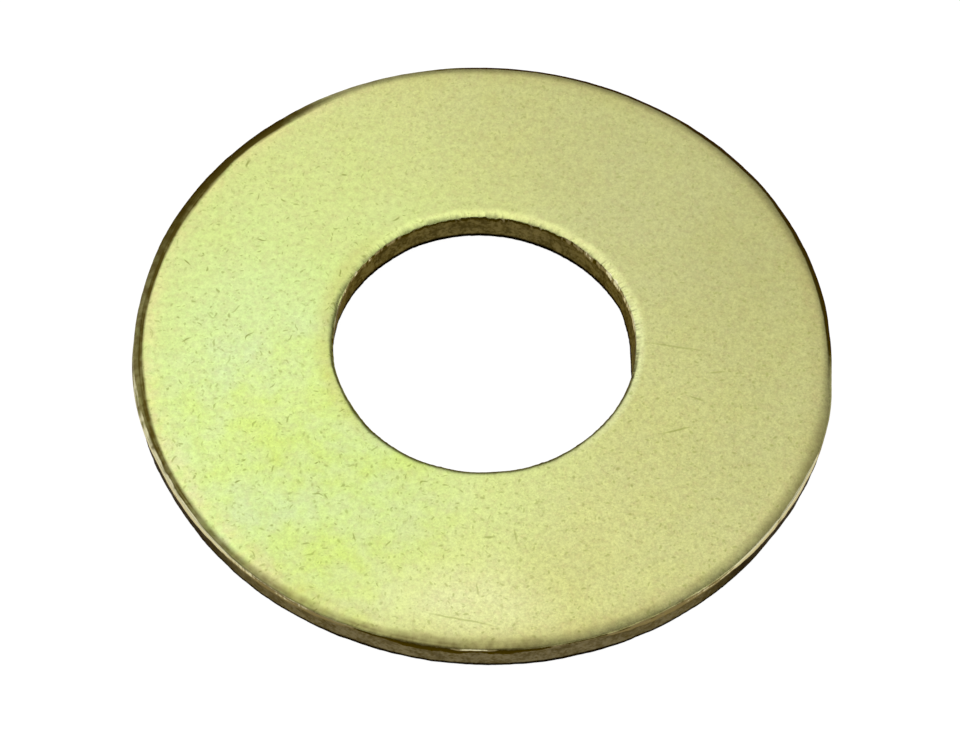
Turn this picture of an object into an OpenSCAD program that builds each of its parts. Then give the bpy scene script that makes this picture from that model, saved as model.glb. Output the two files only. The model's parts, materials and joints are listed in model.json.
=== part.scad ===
// Flat washer for a 3/8 in bolt, wide series, in millimetres.
// One ring, blanked and pierced in a single stroke from steel sheet, then tumbled and plated.
// Both cut edges read the same from the top face down: a shoulder that the sheet was drawn into
// before it sheared, a narrow land that the tool rubbed straight, and a torn band that leans
// away from the land to a lower edge that tumbling has broken.
// The origin is at the centre of the hole on the underside, and +Z points to the rolled face.

/* [Blank] */
// Outside diameter, across the land of the rim
outside_d = 25.4; // [20:0.1:40]
// Hole diameter, across the land of the hole
hole_d = 11; // [6:0.1:16]
// Thickness of the sheet
sheet_t = 1.5; // [1.2:0.05:3]

/* [Rim edge] */
// Width of the rolled shoulder, in from the rim
rim_roll_w = 0.5; // [0.35:0.01:0.9]
// Drop of the rolled shoulder, down from the top face
rim_roll_drop = 0.26; // [0.1:0.01:0.34]
// Height of the straight land under the shoulder
rim_land_h = 0.2; // [0.1:0.01:0.5]
// How far the torn band leans in before it meets the lower bevel
rim_tear_in = 0.12; // [0.02:0.01:0.3]

/* [Hole edge] */
// Width of the rolled shoulder, out from the hole
hole_roll_w = 0.38; // [0.35:0.01:0.9]
// Drop of the rolled shoulder, down from the top face
hole_roll_drop = 0.22; // [0.1:0.01:0.34]
// Height of the straight land under the shoulder
hole_land_h = 0.4; // [0.1:0.01:0.6]
// How far the torn band opens out before it meets the lower bevel
hole_tear_out = 0.05; // [0.02:0.01:0.3]

/* [Lower edges] */
// Bevel that tumbling leaves where the torn bands meet the underside
edge_break = 0.06; // [0.02:0.01:0.2]

/* [Hidden] */
$fn = 180;
// Khaki gold of the chromate film over the zinc
chromate_gold = [0.80, 0.80, 0.53];
rim_r = outside_d / 2;
hole_r = hole_d / 2;
// Heights above the underside at which the lands end and the torn bands begin
rim_land_foot = sheet_t - rim_roll_drop - rim_land_h;
hole_land_foot = sheet_t - hole_roll_drop - hole_land_h;

// Section of the sheet as it sheared, with both upper corners still square
module sheared_sheet() {
    polygon([
        [rim_r, sheet_t],
        [rim_r, rim_land_foot],
        [rim_r - rim_tear_in, edge_break],
        [rim_r - rim_tear_in - edge_break, 0],
        [hole_r + hole_tear_out + edge_break, 0],
        [hole_r + hole_tear_out, edge_break],
        [hole_r, hole_land_foot],
        [hole_r, sheet_t]
    ]);
}

// What a rolled shoulder takes off an upper corner at [0, 0], with the sheet to its left.
// A long arc leaves the face and a tight arc turns it into the land, tangent to each other.
module shoulder_waste(roll_w, drop) {
    tight_r = drop / 2;
    long_r = (roll_w ^ 2 + drop ^ 2 - 2 * roll_w * tight_r) / (2 * (drop - tight_r));
    meeting_angle = atan2(long_r - drop, roll_w - tight_r);
    difference() {
        translate([-roll_w, -drop]) square([2 * roll_w, 2 * drop]);
        translate([-tight_r, -drop]) circle(tight_r);
        intersection() {
            translate([-roll_w, -long_r]) circle(long_r);
            polygon([
                [-2 * roll_w, drop],
                [-2 * roll_w, -2 * drop],
                [-tight_r, -2 * drop],
                [-tight_r, -drop],
                [-tight_r + 2 * drop / tan(meeting_angle), drop]
            ]);
        }
    }
}

// The washer: its section turned round the axis of the hole
module washer() {
    color(chromate_gold)
    rotate_extrude()
    difference() {
        sheared_sheet();
        translate([rim_r, sheet_t]) shoulder_waste(rim_roll_w, rim_roll_drop);
        translate([hole_r, sheet_t]) mirror([1, 0]) shoulder_waste(hole_roll_w, hole_roll_drop);
    }
}

washer();
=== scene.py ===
import json
import math

import bpy
import numpy as np
from mathutils import Matrix, Vector


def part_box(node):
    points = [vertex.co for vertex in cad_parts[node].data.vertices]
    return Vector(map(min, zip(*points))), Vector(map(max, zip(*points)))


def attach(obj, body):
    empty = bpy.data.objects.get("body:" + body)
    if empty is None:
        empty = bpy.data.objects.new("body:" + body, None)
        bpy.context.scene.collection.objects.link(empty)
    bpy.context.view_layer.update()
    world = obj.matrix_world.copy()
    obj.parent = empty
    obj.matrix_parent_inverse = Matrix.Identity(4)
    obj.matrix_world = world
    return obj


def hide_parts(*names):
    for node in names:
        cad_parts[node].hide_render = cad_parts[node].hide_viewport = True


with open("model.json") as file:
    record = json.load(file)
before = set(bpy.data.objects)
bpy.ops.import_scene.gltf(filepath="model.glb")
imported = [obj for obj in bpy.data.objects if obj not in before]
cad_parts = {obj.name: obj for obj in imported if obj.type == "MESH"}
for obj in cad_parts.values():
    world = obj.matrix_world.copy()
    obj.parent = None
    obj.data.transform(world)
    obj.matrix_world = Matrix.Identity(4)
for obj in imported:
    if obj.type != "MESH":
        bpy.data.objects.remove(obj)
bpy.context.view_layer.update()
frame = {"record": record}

# Washer
# One ring blanked and pierced from steel sheet in a single stroke. The sheet is drawn in over the
# upper edges before it shears, so each edge has a rolled shoulder, a narrow land that the tool rubbed
# bright and a torn band below it. The ring is then tumbled, zinc plated and dipped in yellow chromate.
MM = 0.001
ring_low, ring_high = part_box("washer")
bolt_hole = next(mount for mount in frame["record"]["mounts"] if mount["name"] == "bolt_hole")
rim_r = ring_high.x
hole_r = bolt_hole["dims"]["r_mm"] * MM
sheet_t = ring_high.z - ring_low.z

# Columns round the ring, each about 0.05 mm of the rim
columns = 1440
turn = np.arange(columns) * math.tau / columns


def ease(value, low, high):
    """0 at low and 1 at high, with soft ends."""
    share = np.clip((value - low) / (high - low), 0, 1)
    return share * share * (3 - 2 * share)


def facing(at):
    """1 at this angle round the ring, in degrees, 0 a quarter turn away and -1 across the ring from it."""
    return np.cos(turn - math.radians(at))


def hump(at, reach):
    """1 at this angle round the ring, in degrees, falling to 0 at reach to either side."""
    off = (np.degrees(turn) - at + 180) % 360 - 180
    return np.clip(1 - (off / reach) ** 2, 0, 1)


def humps(*places):
    """The sum of humps round the ring, each with its angle, its reach and how much it adds."""
    return sum(amount * hump(at, reach) for at, reach, amount in places)


def wander(knots, seed):
    """A smooth random swing round the ring, from -1 to 1, with this many knots in a turn."""
    draws = np.random.RandomState(seed).uniform(-1, 1, knots)
    place = np.arange(columns) * knots / columns
    before = place.astype(int)
    share = ease(place - before, 0, 1)
    return draws[before] * (1 - share) + draws[(before + 1) % knots] * share


def ragged(seed):
    """The broken outline that a tear leaves, from about -1 to 1: long runs with short teeth on them."""
    return 0.45 * wander(70, seed) + 0.35 * wander(240, seed + 1) + 0.2 * wander(720, seed + 2)


def shoulder(roll_w, drop, tight_share, long_steps, tight_steps):
    """How far in from the edge and down from the face each step of a rolled shoulder lies.

    A long arc leaves the face and a tight arc turns it into the land."""
    tight_r = drop * tight_share
    long_r = (roll_w**2 + drop**2 - 2 * roll_w * tight_r) / (2 * (drop - tight_r))
    meeting = np.arctan2(roll_w - tight_r, long_r - drop)
    for step in range(long_steps + 1):
        angle = meeting * step / long_steps
        yield roll_w - long_r * np.sin(angle), long_r * (1 - np.cos(angle))
    for step in range(1, tight_steps + 1):
        angle = meeting + (math.pi / 2 - meeting) * step / tight_steps
        yield tight_r - tight_r * np.sin(angle), drop - tight_r * np.cos(angle)


# The section is a closed list of rings, each with its finish and with the marks that the finishes read
FILM, LAND, TORN, WALL = range(4)
# The first mark darkens for nicks and for painted shade, and the second is painted shade on the rim's
# shoulder
MARKS = ("stain", "worn", "rubbed", "down_tear")
# Steps of a shoulder's tight arc that the film still covers, before the finish of the land begins
film_steps = 3


def ring(finish, radius, height, **marks):
    """One loop of corners round the washer, each value one number or one for every column."""
    level = np.ones(columns)
    loop = {"finish": finish, "radius": radius * level, "height": height * level}
    for name in MARKS:
        loop[name] = marks.get(name, 0.0) * level
    return loop


def torn_band(finish, edge_r, outward, land_foot, lean, stain, seed):
    """Where the sheet tore through, from the land to the underside.

    outward is 1 at the rim and -1 at the hole, and lean is how far the band draws back by its foot."""
    torn_steps = 7
    break_h = 0.06 * MM
    most_undercut = 0.03 * MM
    foot_sway = 0.02 * MM
    streak_depth = 0.012 * MM
    undercut = most_undercut * (0.5 + 0.5 * ragged(seed))
    foot = lean + foot_sway * ragged(seed + 23)
    band = []
    for step in range(1, torn_steps + 1):
        share = step / torn_steps
        streaks = streak_depth * (wander(300, seed + 3) + wander(610, seed + 3 + step))
        depth = undercut * (1 - share) + foot * share + np.abs(streaks) * math.sin(math.pi * share)
        height = land_foot + (break_h - land_foot) * share
        band.append(ring(finish, edge_r - outward * depth, height, stain=stain, down_tear=share))
    tumbled = break_h * (1 + 0.5 * ragged(seed + 20))
    band.append(ring(finish, edge_r - outward * (foot + tumbled), 0.0, stain=stain, down_tear=1.0))
    return band


# The rim's edge. The punch stood a little out of square, so the shoulder is shallow at the front, and the
# blank came out a little out of round. In front the land cracked and chipped as it tore, and the die rubbed
# it to the left and the right of the cracks. The amounts are millimetres, which MM turns into metres.
rim_mean_w = 0.50
rim_mean_drop = 0.26
rim_mean_lean = 0.12
rim_flake = 0.015
plain_land_h = 0.04
least_land_h = 0.03
to_front = facing(270)
to_right = facing(0)
out_of_round = humps(
    (341, 15, 0.075), (345, 9, 0.055), (324, 16, 0.045), (38, 22, 0.03), (195, 12, 0.068),
    (174, 12, -0.035), (150, 28, -0.05), (104, 38, -0.035), (2, 8, -0.03),
)
edge_r = rim_r + MM * (out_of_round - rim_flake * np.maximum(ragged(306), 0))
rim_roll_w = MM * (rim_mean_w * (1 + 0.08 * wander(7, 13) - 0.2 * hump(4, 28)) + out_of_round)
chipped = (0.08 + 0.14 * ease(to_front, 0.5, 0.9)) * ragged(12)
rim_drop = rim_mean_drop * (1 - 0.30 * to_front + 0.06 * wander(9, 11) + chipped)
rim_drop = MM * (rim_drop + humps((294, 21, 0.10), (319, 13, 0.05)))
crack = humps((256, 6, 0.25), (264, 8, 1.2), (270, 6, 0.5), (275, 3.5, 1.2), (280, 3, 0.45))
crack = crack * (1 + 0.4 * ragged(14))
left_rub = ease(hump(210, 24), 0, 1)
right_rub = ease(hump(330, 18), 0, 0.8)
pale_tear = humps((304, 14, 1.2), (238, 14, 1.1))
rim_land_h = plain_land_h + 0.18 * crack + 0.08 * left_rub + 0.19 * right_rub + 0.2 * pale_tear
rim_land_h = rim_land_h + humps((221, 10, 0.05), (205, 8, -0.05))
rim_land_h = rim_land_h + (0.05 + 0.05 * right_rub) * ragged(136)
rim_land_foot = sheet_t - rim_drop - MM * np.maximum(rim_land_h, least_land_h)
rim_lean = rim_mean_lean + humps((300, 24, -0.035), (346, 16, -0.05), (242, 22, 0.03), (218, 12, 0.03))

# Rubs and nicks along the rim. The die left the land bright where it rubbed, with one bright sliver between
# the cracks, and the land is painted dark as shade at the cracks. Tumbling left a row of nicks to the right
# of them.
nicked = humps((286, 2, 1), (290, 3, 1), (294.5, 2, 1), (299.5, 3, 1), (304.5, 2.5, 1), (311, 1, 1))
nicked = nicked * (0.6 + 0.8 * ragged(15))
sliver = hump(270.5, 4)
rubs = np.maximum(left_rub, right_rub)
rim_rubbed = 0.38 - 0.9 * ease(crack, 0.02, 0.35) + 0.65 * rubs + 0.26 * pale_tear
rim_rubbed = rim_rubbed + humps((328, 12, 0.45), (199, 7, -0.25))
rim_rubbed = rim_rubbed + (0.35 * wander(44, 19) + 0.7 * ragged(140)) * np.maximum(rubs, 0.3)
near_front = ease(to_front, 0.45, 0.7)
lip_early = 1.2 * left_rub * (1 - 0.7 * near_front)
lip_early = lip_early + humps((331, 12, 0.5), (190, 10, 0.7))


def rim_rub(across, step):
    """How bright the lip of the shoulder is rubbed, with across 0 at the face and 1 at the land."""
    lip = ease(across, 0.90 - 0.17 * lip_early, 1.02 - 0.13 * lip_early)
    rubbed = np.maximum(rim_rubbed + 0.3 * wander(160, 70 + step), sliver) * lip
    return rubbed * (1 - np.clip(1.3 * nicked, 0, 1) * ease(across, 0.85, 0.95))


# The dark line on the rim's shoulder is painted shade. It runs along the left side, soft towards the front,
# and goes over into a dark lip of painted shade round the back.
left_shade = ease(facing(178), 0.42, 0.70)
left_shade_at = 0.37 + np.where(to_front > 0, 0.46 * to_front, np.maximum(0.38 * to_front, -0.13))
left_shade_at = left_shade_at + humps((181, 11, 0.09), (217, 18, 0.08), (151, 9, -0.11), (129, 9, -0.1))
left_shade_at = left_shade_at + 0.45 * np.maximum(to_front - 0.5, 0) + 0.03 * wander(40, 18)
thins_out = 0.85 * ease(to_front, -0.5, 0.0)
thins_from = left_shade_at + 0.12 - 0.04 * hump(191, 12)
right_front = ease(facing(327), 0.8, 0.95)
right_back = ease(facing(52), 0.6, 0.85)
dark_lip = (0.3 + 0.75 * hump(8, 25) + 1.1 * right_back) * ease(to_front, 0.12, -0.02)
dark_lip = dark_lip * (1.1 + 0.8 * ragged(130))
lip_from = 0.75 - 0.3 * ease(-to_front, 0.5, 1.0) - 0.17 * right_back - 0.2 * hump(6, 28)
lip_from = np.maximum(lip_from, 0.45)


def rim_stain(across, step):
    """How dark the shoulder is: painted shade in the line, at the lip and at the cracks, and the dark nicks.
    """
    line = ease(across, left_shade_at - 0.29 - 0.25 * near_front, left_shade_at - 0.07)
    line = line * (1 - thins_out * ease(across, thins_from, thins_from + 0.14))
    line = line * left_shade * (1 - 0.15 * near_front + 0.12 * wander(90, 41 + step))
    lip = dark_lip * ease(across, lip_from, lip_from + 0.10)
    # Painted shade in front and at the right of the front, near the lip
    front_shade = 0.12 * ease(to_front, 0.3, 0.8) * ease(across, 0.75, 1.0)
    right_shade = 0.1 * right_front * ease(across, 0.65, 0.9)
    painted_shade = np.maximum.reduce([line, lip, front_shade, right_shade]) * (1 - hump(302, 13))
    nicks = nicked * ease(across, 0.90, 0.98)
    # Painted shade on the lip above the cracks
    feathered = ease(crack, 0.1, 0.8) * ease(across, 0.84, 1.0) * (0.8 + 0.5 * ragged(134))
    return np.maximum.reduce([painted_shade, nicks, feathered]) * (1 - sliver)


# Painted shade on the rim's shoulder, from gold to bronze. It is heaviest in front and below the dark line.
front = ease(facing(266), 0.93, 0.995)
left_front = ease(hump(241, 22), 0, 0.7)
shoulder_shade_depth = 0.52 + 0.24 * front - 0.06 * ease(to_right, 0, 0.7) - 0.2 * right_back
shoulder_shade_depth = shoulder_shade_depth + humps((232, 14, 0.22), (1, 18, -0.36))
shoulder_shade_from = -0.2 + 0.28 * left_front + 0.15 * right_front - 0.5 * right_back
shoulder_shade_to = 0.75 + 0.05 * left_front + 0.1 * right_front - 0.45 * right_back


def rim_shoulder_shade(across, step):
    """How far the shoulder's film is darkened to bronze as painted shade."""
    open_film = (1 - 0.7 * left_shade) * (1 - hump(303, 21) * ease(across, 0.3, 0.8))
    worn = shoulder_shade_depth * open_film * ease(across, shoulder_shade_from, shoulder_shade_to) * (1 + 0.12 * wander(26, 21 + step))
    return np.maximum(worn, 0.9 * left_shade * ease(across, left_shade_at, left_shade_at + 0.2))


rim_long_steps = 10
rim_tight_steps = 5
rim_tight_share = 0.5
rim_steps = shoulder(rim_roll_w, rim_drop, rim_tight_share, rim_long_steps, rim_tight_steps)
rim_edge = []
for step, (back, down) in enumerate(rim_steps):
    finish = LAND if step > rim_long_steps + film_steps else FILM
    across = 1 - back / rim_roll_w
    rim_edge.append(ring(
        finish, edge_r - back, sheet_t - down,
        stain=rim_stain(across, step), worn=rim_shoulder_shade(across, step), rubbed=rim_rub(across, step),
    ))
rim_edge.append(ring(LAND, edge_r, (rim_land_foot + sheet_t - rim_drop) / 2, rubbed=rim_rubbed))
rim_edge.append(ring(LAND, edge_r, rim_land_foot, rubbed=0.6 * rim_rubbed))
# Painted shade: the rim's torn band is darkened all round but in front
side_stain = np.where(to_right < 0, ease(to_front, 0.86, 0.6), ease(to_front, 0.82, 0.66))
rim_edge += torn_band(TORN, edge_r, 1, rim_land_foot, MM * rim_lean, 0.84 * side_stain, 17)

# The hole's edge. Its shoulder is narrow in front, with a dark line of painted shade on it, and narrowest at
# the right of the front. Its lip is ragged and its land painted dark as shade, and on both sides the tear
# left bright flecks.
hole_mean_w = 0.38
hole_mean_drop = 0.19
hole_mean_land_h = 0.18
hole_mean_lean = 0.05
near_side = ease(to_front, -0.2, 0.5)
left_side = ease(-to_right, 0.75, 0.97)
right_side = ease(to_right, 0.6, 0.9)
both_sides = ease(np.abs(to_right), 0.45, 0.9)
lip_r = hole_r + MM * humps(
    (8, 28, 0.055), (78, 36, -0.045), (180, 14, -0.05), (245, 30, 0.08), (285, 28, 0.05), (330, 28, 0.05),
)
hole_roll_w = hole_mean_w - 0.10 * near_side - 0.10 * left_side + 0.05 * right_side
hole_roll_w = hole_roll_w + humps((332, 32, -0.13), (357, 14, -0.08))
hole_roll_w = MM * hole_roll_w * (1 + 0.06 * wander(7, 63) + 0.10 * ragged(66))
hole_drop = 1 + 0.42 * np.minimum(to_front, 0.4) - 0.25 * right_side
hole_drop = hole_drop + humps((332, 32, -0.3), (357, 14, -0.25))
hole_drop = MM * hole_mean_drop * (hole_drop + 0.05 * wander(9, 61) + 0.40 * ragged(62))
hole_land_h = (hole_mean_land_h + 0.12 * hump(28, 32)) * (1 + 0.6 * ragged(64))
hole_land_foot = sheet_t - hole_drop - MM * hole_land_h
hole_lean = hole_mean_lean + humps((98, 40, 0.05), (5, 20, -0.165))
hole_flecks = -0.12 + 0.62 * both_sides + humps((182, 15, -0.9), (353, 15, -0.6), (33, 28, 0.2))
hole_flecks = hole_flecks + (0.3 + 0.5 * both_sides) * (ragged(150) + 0.8 * wander(360, 153))
# Painted shade: a dark line on the shoulder in front, and another on the left
front_line = (0.85 - 0.12 * hump(203, 20)) * ease(to_front, -0.1, 0.25)
front_line_from = 0.3 + 0.15 * hump(337, 35)
left_line = 0.9 * hump(184, 20) * (1 + 0.6 * ragged(68))
hole_long_steps = 6
hole_tight_steps = 4
hole_tight_share = 0.3
hole_steps = shoulder(hole_roll_w, hole_drop, hole_tight_share, hole_long_steps, hole_tight_steps)
hole_edge = []
for step, (back, down) in enumerate(hole_steps):
    finish = LAND if step > hole_long_steps + film_steps else FILM
    across = 1 - back / hole_roll_w
    # The shoulder takes the painted shade of these lines
    stain = front_line * ease(across, front_line_from, front_line_from + 0.25)
    stain = np.maximum(stain, left_line * ease(across, 0.6, 0.85))
    rubbed = (0.7 * hole_flecks + 0.35 * wander(220, 170 + step)) * ease(across, 0.7, 1.0)
    hole_edge.append(ring(finish, lip_r + back, sheet_t - down, stain=stain, rubbed=rubbed))
hole_edge.append(ring(LAND, lip_r, (hole_land_foot + sheet_t - hole_drop) / 2, rubbed=hole_flecks))
hole_edge.append(ring(LAND, lip_r, hole_land_foot, rubbed=0.5 * hole_flecks))
hole_edge += torn_band(WALL, lip_r, -1, hole_land_foot, MM * hole_lean, 0.0, 67)

# The two faces between the edges. The top isn't dead flat: the sheet keeps a slight wave from its coil.
face_steps = 14
beside_shoulder = 0.015
wave_depth = 0.006 * MM
top_face = []
for share in (beside_shoulder, *(np.arange(1, face_steps) / face_steps), 1 - beside_shoulder):
    radius = hole_edge[0]["radius"] * (1 - share) + rim_edge[0]["radius"] * share
    swing = 0.5 * wander(5, 200) * (1 - share) + 0.5 * wander(11, 201) * share
    top_face.append(ring(FILM, radius, sheet_t - wave_depth * (0.5 + swing) * math.sin(math.pi * share)))
under_steps = 6
underside = []
for share in np.arange(1, under_steps) / under_steps:
    radius = rim_edge[-1]["radius"] * (1 - share) + hole_edge[-1]["radius"] * share
    underside.append(ring(FILM, radius, 0.0))
rings = top_face + rim_edge + underside + hole_edge[::-1]

# The mesh: a corner for every column of every ring, and a quad from each corner to the next ring and column
radii = np.array([loop["radius"] for loop in rings])
heights = np.array([loop["height"] for loop in rings])
corners = np.stack([radii * np.cos(turn), radii * np.sin(turn), heights], axis=-1)
index = np.arange(len(rings) * columns).reshape(len(rings), columns)
next_ring = np.roll(index, -1, axis=0)
quads = np.stack([index, next_ring, np.roll(next_ring, -1, axis=1), np.roll(index, -1, axis=1)], axis=-1)
ring_mesh = bpy.data.meshes.new("stamped_ring")
ring_mesh.from_pydata(corners.reshape(-1, 3).tolist(), [], quads.reshape(-1, 4).tolist())
ring_mesh.validate()

# A quad takes the rougher finish of the two rings that it joins, but the flat underside keeps its film
finishes = np.array([loop["finish"] for loop in rings])
quad_finish = np.maximum(finishes, np.roll(finishes, -1))
under = (heights[:, 0] == 0) & (np.roll(heights[:, 0], -1) == 0)
quad_finish = np.where(under, FILM, quad_finish)
ring_mesh.polygons.foreach_set("material_index", np.repeat(quad_finish, columns).astype(np.int32))
ring_mesh.polygons.foreach_set("use_smooth", np.ones(len(rings) * columns, dtype=bool))
for name in MARKS:
    values = np.array([loop[name] for loop in rings])
    mark = ring_mesh.attributes.new(name, "FLOAT", "POINT")
    mark.data.foreach_set("value", values.ravel().astype(np.float32))

washer = bpy.data.objects.new("stamped_washer", ring_mesh)
bpy.context.scene.collection.objects.link(washer)


class Finish:
    """The shader tree of one finish, with short calls for the nodes that it is mixed from."""

    def __init__(self, name):
        self.material = bpy.data.materials.new(name)
        self.material.use_nodes = True
        self.tree = self.material.node_tree
        self.shader = self.tree.nodes["Principled BSDF"]
        spot = self.add("ShaderNodeTexCoord").outputs["Object"]
        self.place = self.add("ShaderNodeMapping", Vector=spot, Scale=(1 / MM, 1 / MM, 1 / MM)).outputs[0]

    def add(self, kind, settings=None, **inputs):
        """A new node, with its settings and with a number, colour or socket for each input."""
        node = self.tree.nodes.new(kind)
        for name, value in (settings or {}).items():
            setattr(node, name, value)
        for name, value in inputs.items():
            self.set(node, name, value)
        return node

    def set(self, node, name, value):
        """Link or set one input of a node, by its name or its number."""
        socket = node.inputs[name]
        if isinstance(value, bpy.types.NodeSocket):
            self.tree.links.new(value, socket)
        else:
            socket.default_value = value

    def math(self, operation, first, second=0.0, clamp=False):
        """The result of one calculation with one or two numbers."""
        node = self.add("ShaderNodeMath", {"operation": operation, "use_clamp": clamp})
        self.set(node, 0, first)
        self.set(node, 1, second)
        return node.outputs[0]

    def vector(self, operation, *values):
        """The result of one calculation with places: a number for a length, and otherwise a place."""
        node = self.add("ShaderNodeVectorMath", {"operation": operation})
        for number, value in enumerate(values):
            self.set(node, number, value)
        return node.outputs["Value" if operation == "LENGTH" else "Vector"]

    def mix(self, share, first, second, blend="MIX"):
        """Two colours, mixed by share through the node's colour sockets."""
        node = self.add("ShaderNodeMix", {"data_type": "RGBA", "blend_type": blend})
        for number, value in zip((0, 6, 7), (share, first, second)):
            self.set(node, number, value)
        return node.outputs[2]

    def noise(self, per_mm, detail=2.0, rough=0.5, stretch=(1, 1, 1), shift=0.0):
        """Cloudy noise from 0 to 1, with this many lumps to the millimetre."""
        moved = (shift, shift, shift)
        place = self.add("ShaderNodeMapping", Vector=self.place, Scale=stretch, Location=moved)
        lumps = self.add(
            "ShaderNodeTexNoise", Vector=place.outputs[0], Scale=per_mm, Detail=detail, Roughness=rough
        )
        return lumps.outputs["Fac"]

    def spread(self, value, low, high, to_low=0.0, to_high=1.0):
        """value, stretched so that low to high becomes to_low to to_high, with soft ends."""
        node = self.add("ShaderNodeMapRange", {"interpolation_type": "SMOOTHSTEP"}, Value=value)
        for name, number in zip(("From Min", "From Max", "To Min", "To Max"), (low, high, to_low, to_high)):
            self.set(node, name, number)
        return node.outputs[0]

    def near(self, centre, inside, outside, uneven, squash=(1, 1)):
        """1 within inside of a place on the face and 0 beyond outside, in millimetres."""
        away = self.vector("SUBTRACT", self.place, (*centre, 0))
        reach = self.vector("LENGTH", self.vector("MULTIPLY", away, (*squash, 0)))
        return self.spread(self.math("ADD", reach, uneven), inside, outside, 1.0, 0.0)

    def mark(self, name):
        """A mark that was laid on the mesh ring by ring."""
        return self.add("ShaderNodeAttribute", {"attribute_name": name}).outputs["Fac"]

    def swayed(self, place, per_mm, detail, bend):
        """A place that noise pushes about by up to bend millimetres, so that what lies there wanders."""
        sway = self.add("ShaderNodeTexNoise", Vector=place, Scale=per_mm, Detail=detail)
        return self.vector("MULTIPLY_ADD", sway.outputs["Color"], (bend, bend, 0), place)

    def stroke(self, away, angle, half_length, half_width):
        """One mark, 1 along its middle and 0 off it.

        away is the way from its centre, and angle the turn that lays it flat."""
        turned = self.add("ShaderNodeVectorRotate", {"rotation_type": "Z_AXIS"}, Vector=away, Angle=angle)
        along = self.add("ShaderNodeSeparateXYZ", Vector=turned.outputs[0])
        x = self.math("DIVIDE", along.outputs[0], half_length)
        y = self.math("DIVIDE", along.outputs[1], half_width)
        reach = self.math("SQRT", self.math("ADD", self.math("POWER", x, 2.0), self.math("POWER", y, 2.0)))
        return self.spread(reach, 0.3, 1.0, 1.0, 0.0)

    def long_scratch(self, centre, slope, half_length, half_width, bend):
        """One mark at a place on the face, in millimetres and degrees, that wanders by bend."""
        bent = self.swayed(self.place, 1.2, 2.0, bend)
        away = self.vector("SUBTRACT", bent, (centre[0] + bend / 2, centre[1] + bend / 2, 0))
        return self.stroke(away, -math.radians(slope), half_length, half_width)

    def scratches(self, per_mm, half_length, half_width, share, shift, bend):
        """Short marks at random places and angles, 1 on a mark and 0 off it.

        Sizes are in millimetres, share is how many cells have a mark, and bend is how far one wanders."""
        shortest = 0.35
        place = self.add("ShaderNodeMapping", Vector=self.place, Location=(shift, shift * 1.7, 0))
        flat = self.vector("MULTIPLY", place.outputs[0], (1, 1, 0))
        bent = self.swayed(flat, 0.4 / half_length, 1.0, bend)
        cells = self.add("ShaderNodeTexVoronoi", {"voronoi_dimensions": "2D"}, Vector=bent, Scale=per_mm)
        away = self.vector("SUBTRACT", bent, cells.outputs["Position"])
        draw = self.add("ShaderNodeSeparateColor", Color=cells.outputs["Color"])
        angle = self.math("MULTIPLY", draw.outputs[0], math.tau)
        length = self.math("MULTIPLY", self.math("ADD", draw.outputs[1], shortest), half_length)
        drawn = self.spread(draw.outputs[2], 0.0, share, 1.0, 0.0)
        return self.math("MULTIPLY", self.stroke(away, angle, length, half_width), drawn)

    def finish(self, colour, roughness, height, depth):
        """Join up the bare metal's shader, with height as a bump this deep, and return the material."""
        bump = self.add("ShaderNodeBump", Height=height, Distance=depth, Strength=1.0)
        for name, value in (("Base Color", colour), ("Roughness", roughness), ("Normal", bump.outputs[0])):
            self.set(self.shader, name, value)
        self.shader.inputs["Metallic"].default_value = 1.0
        return self.material


def dip_colour(film, x, y, uneven, pool):
    """The colour that the dip left: khaki on the right, straw on the left and lime where it pooled.

    The lighter straw and lime on the left are partly painted light.
    """
    khaki = (0.50, 0.502, 0.205, 1)
    straw = (0.62, 0.635, 0.248, 1)
    lime = (0.617, 0.750, 0.275, 1)
    cream = (0.70, 0.70, 0.37, 1)
    # Partly painted light: the film grows lighter towards the left and the front
    across = film.math("MULTIPLY", x, -0.85)
    across = film.math("SUBTRACT", across, film.math("MULTIPLY", y, 0.25))
    thickness_and_light = film.spread(film.math("ADD", across, film.math("MULTIPLY", uneven, 5.0)), -11.0, 6.0)
    colour = film.mix(thickness_and_light, khaki, straw)
    patches = film.noise(1.5, 2.0, 0.55, shift=37.0)
    mottled = film.math("MULTIPLY", pool, film.spread(patches, 0.35, 0.65, 0.83, 1.10), clamp=True)
    colour = film.mix(mottled, colour, lime)
    loose = film.math("MULTIPLY", uneven, 2.0)
    # A paler cream patch by the front edge
    front_pale_patch = film.near((-0.2, -10.9), 0.3, 2.4, loose, squash=(0.5, 1))
    colour = film.mix(film.math("MULTIPLY", front_pale_patch, 0.52), colour, cream)

    # The film is paler, with more blue in it, where the dip drained off, and deeper where it soaked in
    drying = film.near((-7.0, -6.5), 3.5, 9.0, film.math("MULTIPLY", uneven, 4.0))
    bleach = film.spread(film.noise(0.45, 3.0, 0.6, shift=51.0), 0.34, 0.66, -0.12, 0.12)
    bleach = film.math("ADD", bleach, film.spread(patches, 0.35, 0.65, 0.08, -0.05))
    bleach = film.math("MULTIPLY", bleach, film.spread(drying, 0.0, 1.0, 0.2, 1.0))
    drained = (
        ((-8.6, 0.0), 1.0, 4.5, 0.14), ((-8.0, -8.0), 0.5, 3.0, 0.18), ((5.0, 5.2), 1.0, 5.5, 0.07),
        ((-6.8, -3.2), 0.5, 3.0, -0.10),
    )
    for centre, inside, outside, amount in drained:
        area = film.near(centre, inside, outside, loose)
        bleach = film.math("ADD", bleach, film.math("MULTIPLY", area, amount))
    steeped = film.near((-5.0, -7.5), 1.5, 6.0, loose)
    bleach = film.math("SUBTRACT", bleach, film.math("MULTIPLY", steeped, 0.09))
    deep = film.spread(steeped, 0.0, 1.0, 1.0, 0.95)
    cast = film.add("ShaderNodeCombineColor", Red=deep, Green=deep, Blue=film.math("ADD", bleach, deep))
    return film.mix(1.0, colour, cast.outputs[0], "MULTIPLY")


# A tan cast on the film, as a factor
tan = (1.12, 0.97, 1.06, 1)


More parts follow.
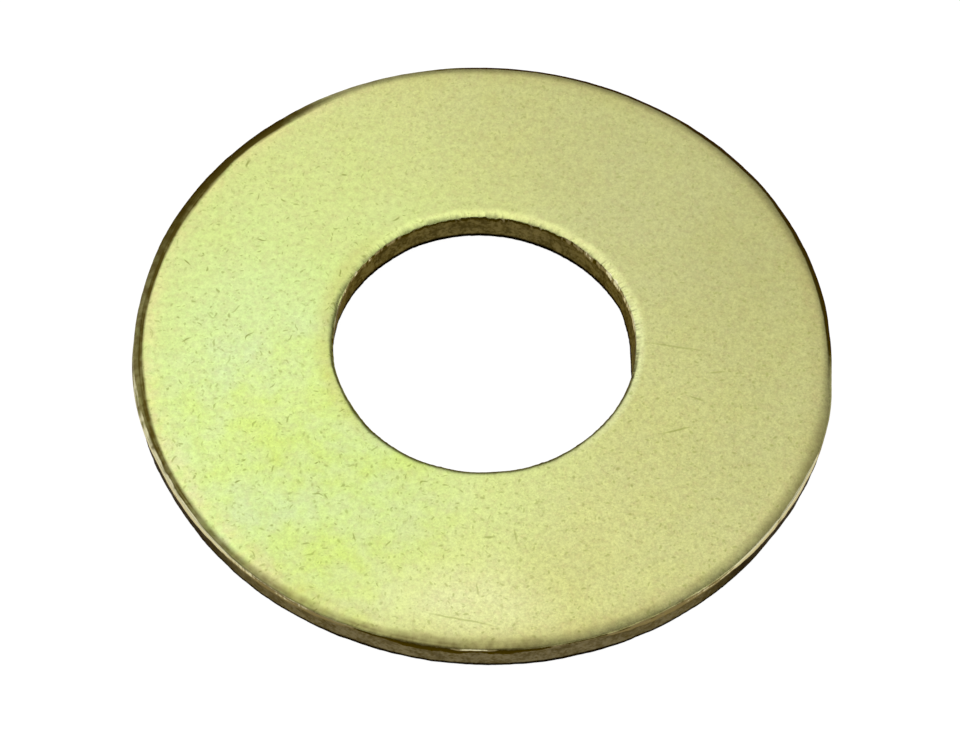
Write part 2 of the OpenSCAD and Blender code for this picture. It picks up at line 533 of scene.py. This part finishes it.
def edge_tints(film, colour, x, y, uneven):
    """The tints along the edges.

    By the rim the film is tan on the left, and darkened in front and behind as painted shade; by the hole it
    has a painted highlight on the right and is dull on the left."""
    umber = (0.86, 0.83, 0.81, 1)
    highlight_gold = (0.65, 0.68, 0.32, 1)
    dull_gold = (0.95, 0.87, 0.81, 1)
    rim = rim_r / MM
    hole = hole_r / MM
    radius = film.vector("LENGTH", film.add("ShaderNodeCombineXYZ", X=x, Y=y).outputs[0])
    by_rim = film.spread(radius, rim - 1.2, rim - 0.4)
    # Painted shade: the film by the rim is darkened in front and behind
    in_front = film.spread(y, -8.0, -11.5, 0.0, 0.7)
    behind = film.spread(film.math("ADD", x, y), 4.0, 12.0, 0.0, 0.65)
    shaded_by_rim = film.math("MULTIPLY", by_rim, film.math("MAXIMUM", in_front, behind))
    colour = film.mix(shaded_by_rim, colour, umber, "MULTIPLY")
    # Painted highlight: a pale band on the hole's right shoulder
    hole_right_highlight = film.spread(radius, hole + 0.20, hole + 0.50, 1.0, 0.0)
    hole_right_highlight = film.math("MULTIPLY", hole_right_highlight, film.spread(x, 1.5, 5.4))
    hole_right_highlight = film.math("MULTIPLY", hole_right_highlight, film.spread(y, 0.5, 2.8, 1.0, 0.4))
    colour = film.mix(hole_right_highlight, colour, highlight_gold)
    hole_left = film.spread(radius, hole + 0.3, hole + 0.9, 1.0, 0.0)
    hole_left = film.math("MULTIPLY", hole_left, film.spread(x, -3.2, -5.4))
    colour = film.mix(hole_left, colour, dull_gold, "MULTIPLY")
    front_haze = film.near((2.8, -9.5), 0.5, 2.8, uneven)
    back_haze = film.near((10.2, 4.2), 0.5, 5.0, uneven, squash=(1, 0.7))
    haze = film.math("MULTIPLY", film.math("MAXIMUM", front_haze, back_haze), 0.3)
    colour = film.mix(haze, colour, umber, "MULTIPLY")
    clouds = film.noise(1.4, 4.0, 0.65, shift=9.0)
    rim_left = film.math("MULTIPLY", by_rim, film.spread(x, -9.0, -3.0, 1.0, 0.2))
    rim_left = film.math("MULTIPLY", rim_left, film.spread(clouds, 0.3, 0.6))
    return film.mix(rim_left, colour, tan, "MULTIPLY")


def grain_tints(film, colour, y, pool, grain):
    """The fine grain of the plated sheet under the film, and blotches of tan in it."""
    blotches = film.noise(4.5, 2.0, 0.6, shift=13.0)
    colour = film.mix(film.spread(blotches, 0.45, 0.75, 0.0, 0.35), colour, tan, "MULTIPLY")
    coarse = film.math("MULTIPLY", film.math("SUBTRACT", grain, 0.5), film.spread(pool, 0.0, 0.8, 0.75, 0.5))
    coarse = film.math("MULTIPLY", coarse, film.spread(y, -4.0, 6.0, 1.0, 0.7))
    shade = film.math("ADD", film.spread(blotches, 0.3, 0.7, 1.065, 0.935), coarse)
    grey = film.add("ShaderNodeCombineColor", Red=shade, Green=shade, Blue=shade)
    return film.mix(1.0, colour, grey.outputs[0], "MULTIPLY")


def tumbling_marks(film, y, pool):
    """What tumbling left on the film, 1 at the darkest: random nicks and specks and six long scratches."""
    # Cells to the millimetre, half length and half width of a mark, share of marked cells, shift and bend
    spots = film.scratches(2.6, 0.10, 0.060, 0.95, 3.0, 0.15)
    nicks = film.scratches(2.0, 0.13, 0.042, 0.9, 11.0, 0.3)
    scuffs = film.scratches(0.9, 0.22, 0.050, 0.7, 17.0, 0.5)
    hairlines = film.scratches(0.16, 1.8, 0.016, 0.5, 31.0, 0.8)
    specks = film.spread(film.noise(7.0, 1.0, shift=21.0), 0.66, 0.76)
    dark = film.math("MAXIMUM", film.math("MULTIPLY", nicks, 0.55), film.math("MULTIPLY", scuffs, 0.75))
    dark = film.math("MULTIPLY", dark, film.spread(pool, 0.05, 0.6, 0.15, 1.0))
    dark = film.math("MAXIMUM", dark, film.math("MULTIPLY", spots, film.spread(y, -4.0, 6.0, 0.42, 0.28)))
    dark = film.math("MAXIMUM", dark, film.math("MULTIPLY", specks, 0.3))
    dark = film.math("MAXIMUM", dark, film.math("MULTIPLY", hairlines, 0.2))
    scratch_half_width = 0.055
    scratch_bend = 0.12
    long_scratches = (
        ((-0.35, -11.6), -10, 1.65, 0.4), ((6.97, 0.0), -7, 1.6, 0.32), ((7.05, -3.57), 16, 0.75, 0.5),
        ((8.48, -1.05), 8, 0.45, 0.38), ((7.73, -2.2), -18, 0.45, 0.42), ((1.4, -8.2), -78, 0.4, 0.4),
    )
    for centre, slope, half_length, depth in long_scratches:
        scratch = film.long_scratch(centre, slope, half_length, scratch_half_width, scratch_bend)
        dark = film.math("MAXIMUM", dark, film.math("MULTIPLY", scratch, depth))
    return dark


# The cream of metal that the tool rubbed bright, on the lands and on the lips above them
rubbed_cream = (0.75, 0.71, 0.45, 1)


def chromate_film():
    """Gold film on both faces and shoulders, with brown nicks.

    The bronze and brown on the shoulders are painted shade.
    """
    film = Finish("chromate_film")
    olive = (0.23, 0.262, 0.04, 1)
    shade_bronze = (0.20, 0.163, 0.055, 1)
    shade_brown = (0.080, 0.058, 0.009, 1)
    clear_glint = (1, 1, 1, 1)
    shade_brown_glint = (0.3, 0.24, 0.12, 1)
    grain_depth = 0.004 * MM
    where = film.add("ShaderNodeSeparateXYZ", Vector=film.place)
    x = where.outputs[0]
    y = where.outputs[1]
    uneven = film.math("SUBTRACT", film.noise(0.2, 3.0, shift=4.0), 0.5)
    pool = film.near((-7.2, -3.2), 2.5, 13.0, film.math("MULTIPLY", uneven, 4.0), squash=(1, 0.75))
    grain = film.noise(13.0, 2.0, 0.6)
    colour = dip_colour(film, x, y, uneven, pool)
    colour = edge_tints(film, colour, x, y, uneven)
    colour = grain_tints(film, colour, y, pool, grain)
    dark = tumbling_marks(film, y, pool)
    colour = film.mix(dark, colour, olive)
    mottle = film.spread(film.noise(3.0, 3.0), 0.3, 0.7, 0.8, 1.15)
    # Painted shade on the shoulders, bronze then brown; the brown also marks the rim's nicks
    worn = film.math("MULTIPLY", film.mark("worn"), mottle, clamp=True)
    colour = film.mix(worn, colour, shade_bronze)
    stain = film.math("MULTIPLY", film.mark("stain"), film.spread(mottle, 0.8, 1.15, 0.94, 1.06), clamp=True)
    colour = film.mix(stain, colour, shade_brown)
    colour = film.mix(film.spread(film.mark("rubbed"), 0.40, 0.90), colour, rubbed_cream)
    # The painted shade also dims the glint
    film.set(film.shader, "Specular Tint", film.mix(stain, clear_glint, shade_brown_glint))
    roughness = film.math("ADD", film.spread(grain, 0.2, 0.8, 0.30, 0.38), film.math("MULTIPLY", dark, 0.2))
    roughness = film.math("ADD", roughness, film.math("MULTIPLY", worn, 0.25))
    height = film.math("SUBTRACT", film.math("MULTIPLY", grain, 0.6), film.math("MULTIPLY", dark, 0.4))
    return film.finish(colour, roughness, height, grain_depth)


def rubbed_land():
    """The land, with fine drag lines down it: black as painted shade, taupe, and cream where it was rubbed.
    """
    land = Finish("rubbed_land")
    shade_black = (0.030, 0.021, 0.003, 1)
    taupe = (0.21, 0.172, 0.085, 1)
    tan_glint = (0.7, 0.6, 0.4, 1)
    drag_depth = 0.006 * MM
    drag = land.noise(1.0, 3.0, 0.6, stretch=(9, 9, 0.6))
    rubbed = land.math("ADD", land.mark("rubbed"), land.spread(drag, 0.2, 0.8, -0.12, 0.12))
    # Black, where the rubbed mark is low, is painted shade
    colour = land.mix(land.spread(rubbed, 0.0, 0.3), shade_black, taupe)
    colour = land.mix(land.spread(rubbed, 0.55, 0.8), colour, rubbed_cream)
    roughness = land.spread(drag, 0.2, 0.8, 0.28, 0.42)
    land.set(land.shader, "Specular Tint", tan_glint)
    return land.finish(colour, roughness, drag, drag_depth)


def torn_steel(name, dark, light):
    """The rough torn band under the land: dull brown, darkest at the bottom edge.

    The black at the bottom edge and where the mesh marks it is painted shade.
    """
    torn = Finish(name)
    shade_black = (0.005, 0.004, 0.001, 1)
    dull_glint = (0.4, 0.35, 0.23, 1)
    tear_depth = 0.02 * MM
    patches = torn.noise(1.0, 4.0, 0.65, stretch=(2.4, 2.4, 1.8))
    crumbs = torn.noise(9.0, 2.0)
    mottle = torn.math("ADD", patches, torn.math("MULTIPLY", torn.math("SUBTRACT", crumbs, 0.5), 0.8))
    colour = torn.mix(torn.spread(mottle, 0.3, 0.7), dark, light)
    # Painted shade in black: on the rim's sides where marked, and a contact shadow along the bottom edge
    colour = torn.mix(torn.mark("stain"), colour, shade_black)
    colour = torn.mix(torn.spread(torn.mark("down_tear"), 0.78, 0.90), colour, shade_black)
    roughness = torn.spread(crumbs, 0.3, 0.7, 0.45, 0.62)
    height = torn.math("ADD", patches, torn.math("MULTIPLY", crumbs, 0.4))
    torn.set(torn.shader, "Specular Tint", dull_glint)
    return torn.finish(colour, roughness, height, tear_depth)


# The finishes, in the order of FILM, LAND, TORN and WALL
rim_brown = (0.125, 0.102, 0.055, 1)
rim_fawn = (0.25, 0.212, 0.125, 1)
# The wall's browns are darker than the rim's, as painted shade inside the hole
wall_shaded_brown = (0.074, 0.058, 0.019, 1)
wall_shaded_fawn = (0.198, 0.157, 0.060, 1)
torn_rim = torn_steel("torn_rim", rim_brown, rim_fawn)
pierced_wall = torn_steel("pierced_wall", wall_shaded_brown, wall_shaded_fawn)
for material in (chromate_film(), rubbed_land(), torn_rim, pierced_wall):
    ring_mesh.materials.append(material)
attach(washer, "root")
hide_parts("washer")

# Floor
# A sheet of white paper that the washer lies on. It shows white to the lens and in the metal, and keeps
# the soft shadow under the ring.
floor_reach = 1.5
floor_gap = 0.02 * MM
paper_white = (0.93, 0.93, 0.93, 1)
glow_strength = 1.12
glow_share = 0.85
floor_mesh = bpy.data.meshes.new("paper")
floor_mesh.from_pydata(
    [(x * floor_reach, y * floor_reach, -floor_gap) for x, y in ((-1, -1), (1, -1), (1, 1), (-1, 1))],
    [],
    [(0, 1, 2, 3)],
)
paper = bpy.data.objects.new("paper_floor", floor_mesh)
bpy.context.scene.collection.objects.link(paper)
paper_look = Finish("white_paper")
paper_look.tree.nodes.remove(paper_look.shader)
ray = paper_look.add("ShaderNodeLightPath")
seen = paper_look.math("MAXIMUM", ray.outputs["Is Camera Ray"], ray.outputs["Is Glossy Ray"])
seen = paper_look.math("MAXIMUM", seen, ray.outputs["Is Transmission Ray"])
paper_glow = paper_look.add("ShaderNodeEmission", Color=(1, 1, 1, 1), Strength=glow_strength)
paper_face = paper_look.add("ShaderNodeBsdfDiffuse", Color=paper_white)
paper_mix = paper_look.add("ShaderNodeMixShader")
paper_look.set(paper_mix, 0, paper_look.math("MULTIPLY", seen, glow_share))
paper_look.set(paper_mix, 1, paper_face.outputs[0])
paper_look.set(paper_mix, 2, paper_glow.outputs[0])
paper_look.set(paper_look.tree.nodes["Material Output"], "Surface", paper_mix.outputs[0])
floor_mesh.materials.append(paper_look.material)

# Light
# A soft tent over the table: brightest overhead, brighter at the back and left than in front and on the
# right, and dim near the table.
tent = bpy.data.worlds.new("light_tent")
bpy.context.scene.world = tent
tent.use_nodes = True
sky = tent.node_tree
toward = sky.nodes.new("ShaderNodeSeparateXYZ")
sky.links.new(sky.nodes.new("ShaderNodeTexCoord").outputs["Generated"], toward.inputs[0])


def sky_ramp(axis, low, high, at_low, at_high):
    """The tent's light along one axis, as a factor that runs from at_low to at_high."""
    ramp = sky.nodes.new("ShaderNodeMapRange")
    ramp.interpolation_type = "SMOOTHERSTEP"
    sky.links.new(toward.outputs[axis], ramp.inputs["Value"])
    for name, number in (("From Min", low), ("From Max", high), ("To Min", at_low), ("To Max", at_high)):
        ramp.inputs[name].default_value = number
    return ramp.outputs[0]


overhead = sky_ramp("Z", 0.0, 1.3, 0.35, 1.42)
from_back = sky_ramp("Y", -0.6, 0.1, 0.65, 1.0)
from_left = sky_ramp("X", -0.6, 0.6, 1.1, 0.92)
left_panel = sky_ramp("X", -0.75, -0.2, 1.25, 1.0)
top_panel = sky_ramp("Z", 0.86, 0.99, 1.0, 1.2)
strength = overhead
for factor in (from_back, from_left, left_panel, top_panel):
    product = sky.nodes.new("ShaderNodeMath")
    product.operation = "MULTIPLY"
    sky.links.new(strength, product.inputs[0])
    sky.links.new(factor, product.inputs[1])
    strength = product.outputs[0]
glow = sky.nodes["Background"]
glow.inputs["Color"].default_value = (1, 1, 1, 1)
sky.links.new(strength, glow.inputs["Strength"])

# Camera
# A long lens held in front of the washer and well above it, tipped a little to one side. Its aim and its
# distance are in outside diameters, and its focal length is in pixels of the picture.
outside_d = 2 * rim_r
aim = Vector((-0.00263, -0.02977, 0)) * outside_d
camera_height = math.radians(57.25)
camera_tip = math.radians(2.446)
camera_distance = 4.62 * outside_d
picture_w = 960
focal_pixels = 3210
toward_lens = Vector((0, -math.cos(camera_height), math.sin(camera_height)))
up = Vector((0, math.sin(camera_height), math.cos(camera_height)))
right = Vector((1, 0, 0))
tipped_right = right * math.cos(camera_tip) + up * math.sin(camera_tip)
tipped_up = up * math.cos(camera_tip) - right * math.sin(camera_tip)
long_lens = bpy.data.cameras.new("long_lens")
long_lens.sensor_fit = "HORIZONTAL"
long_lens.sensor_width = 36
long_lens.lens = focal_pixels * long_lens.sensor_width / picture_w
long_lens.clip_start = 0.01
long_lens.clip_end = 10
camera = bpy.data.objects.new("camera", long_lens)
bpy.context.scene.collection.objects.link(camera)
facing_washer = Matrix((tipped_right, tipped_up, toward_lens)).transposed().to_4x4()
camera.matrix_world = Matrix.Translation(aim + toward_lens * camera_distance) @ facing_washer
bpy.context.scene.camera = camera
bpy.context.scene.view_settings.view_transform = "Standard"
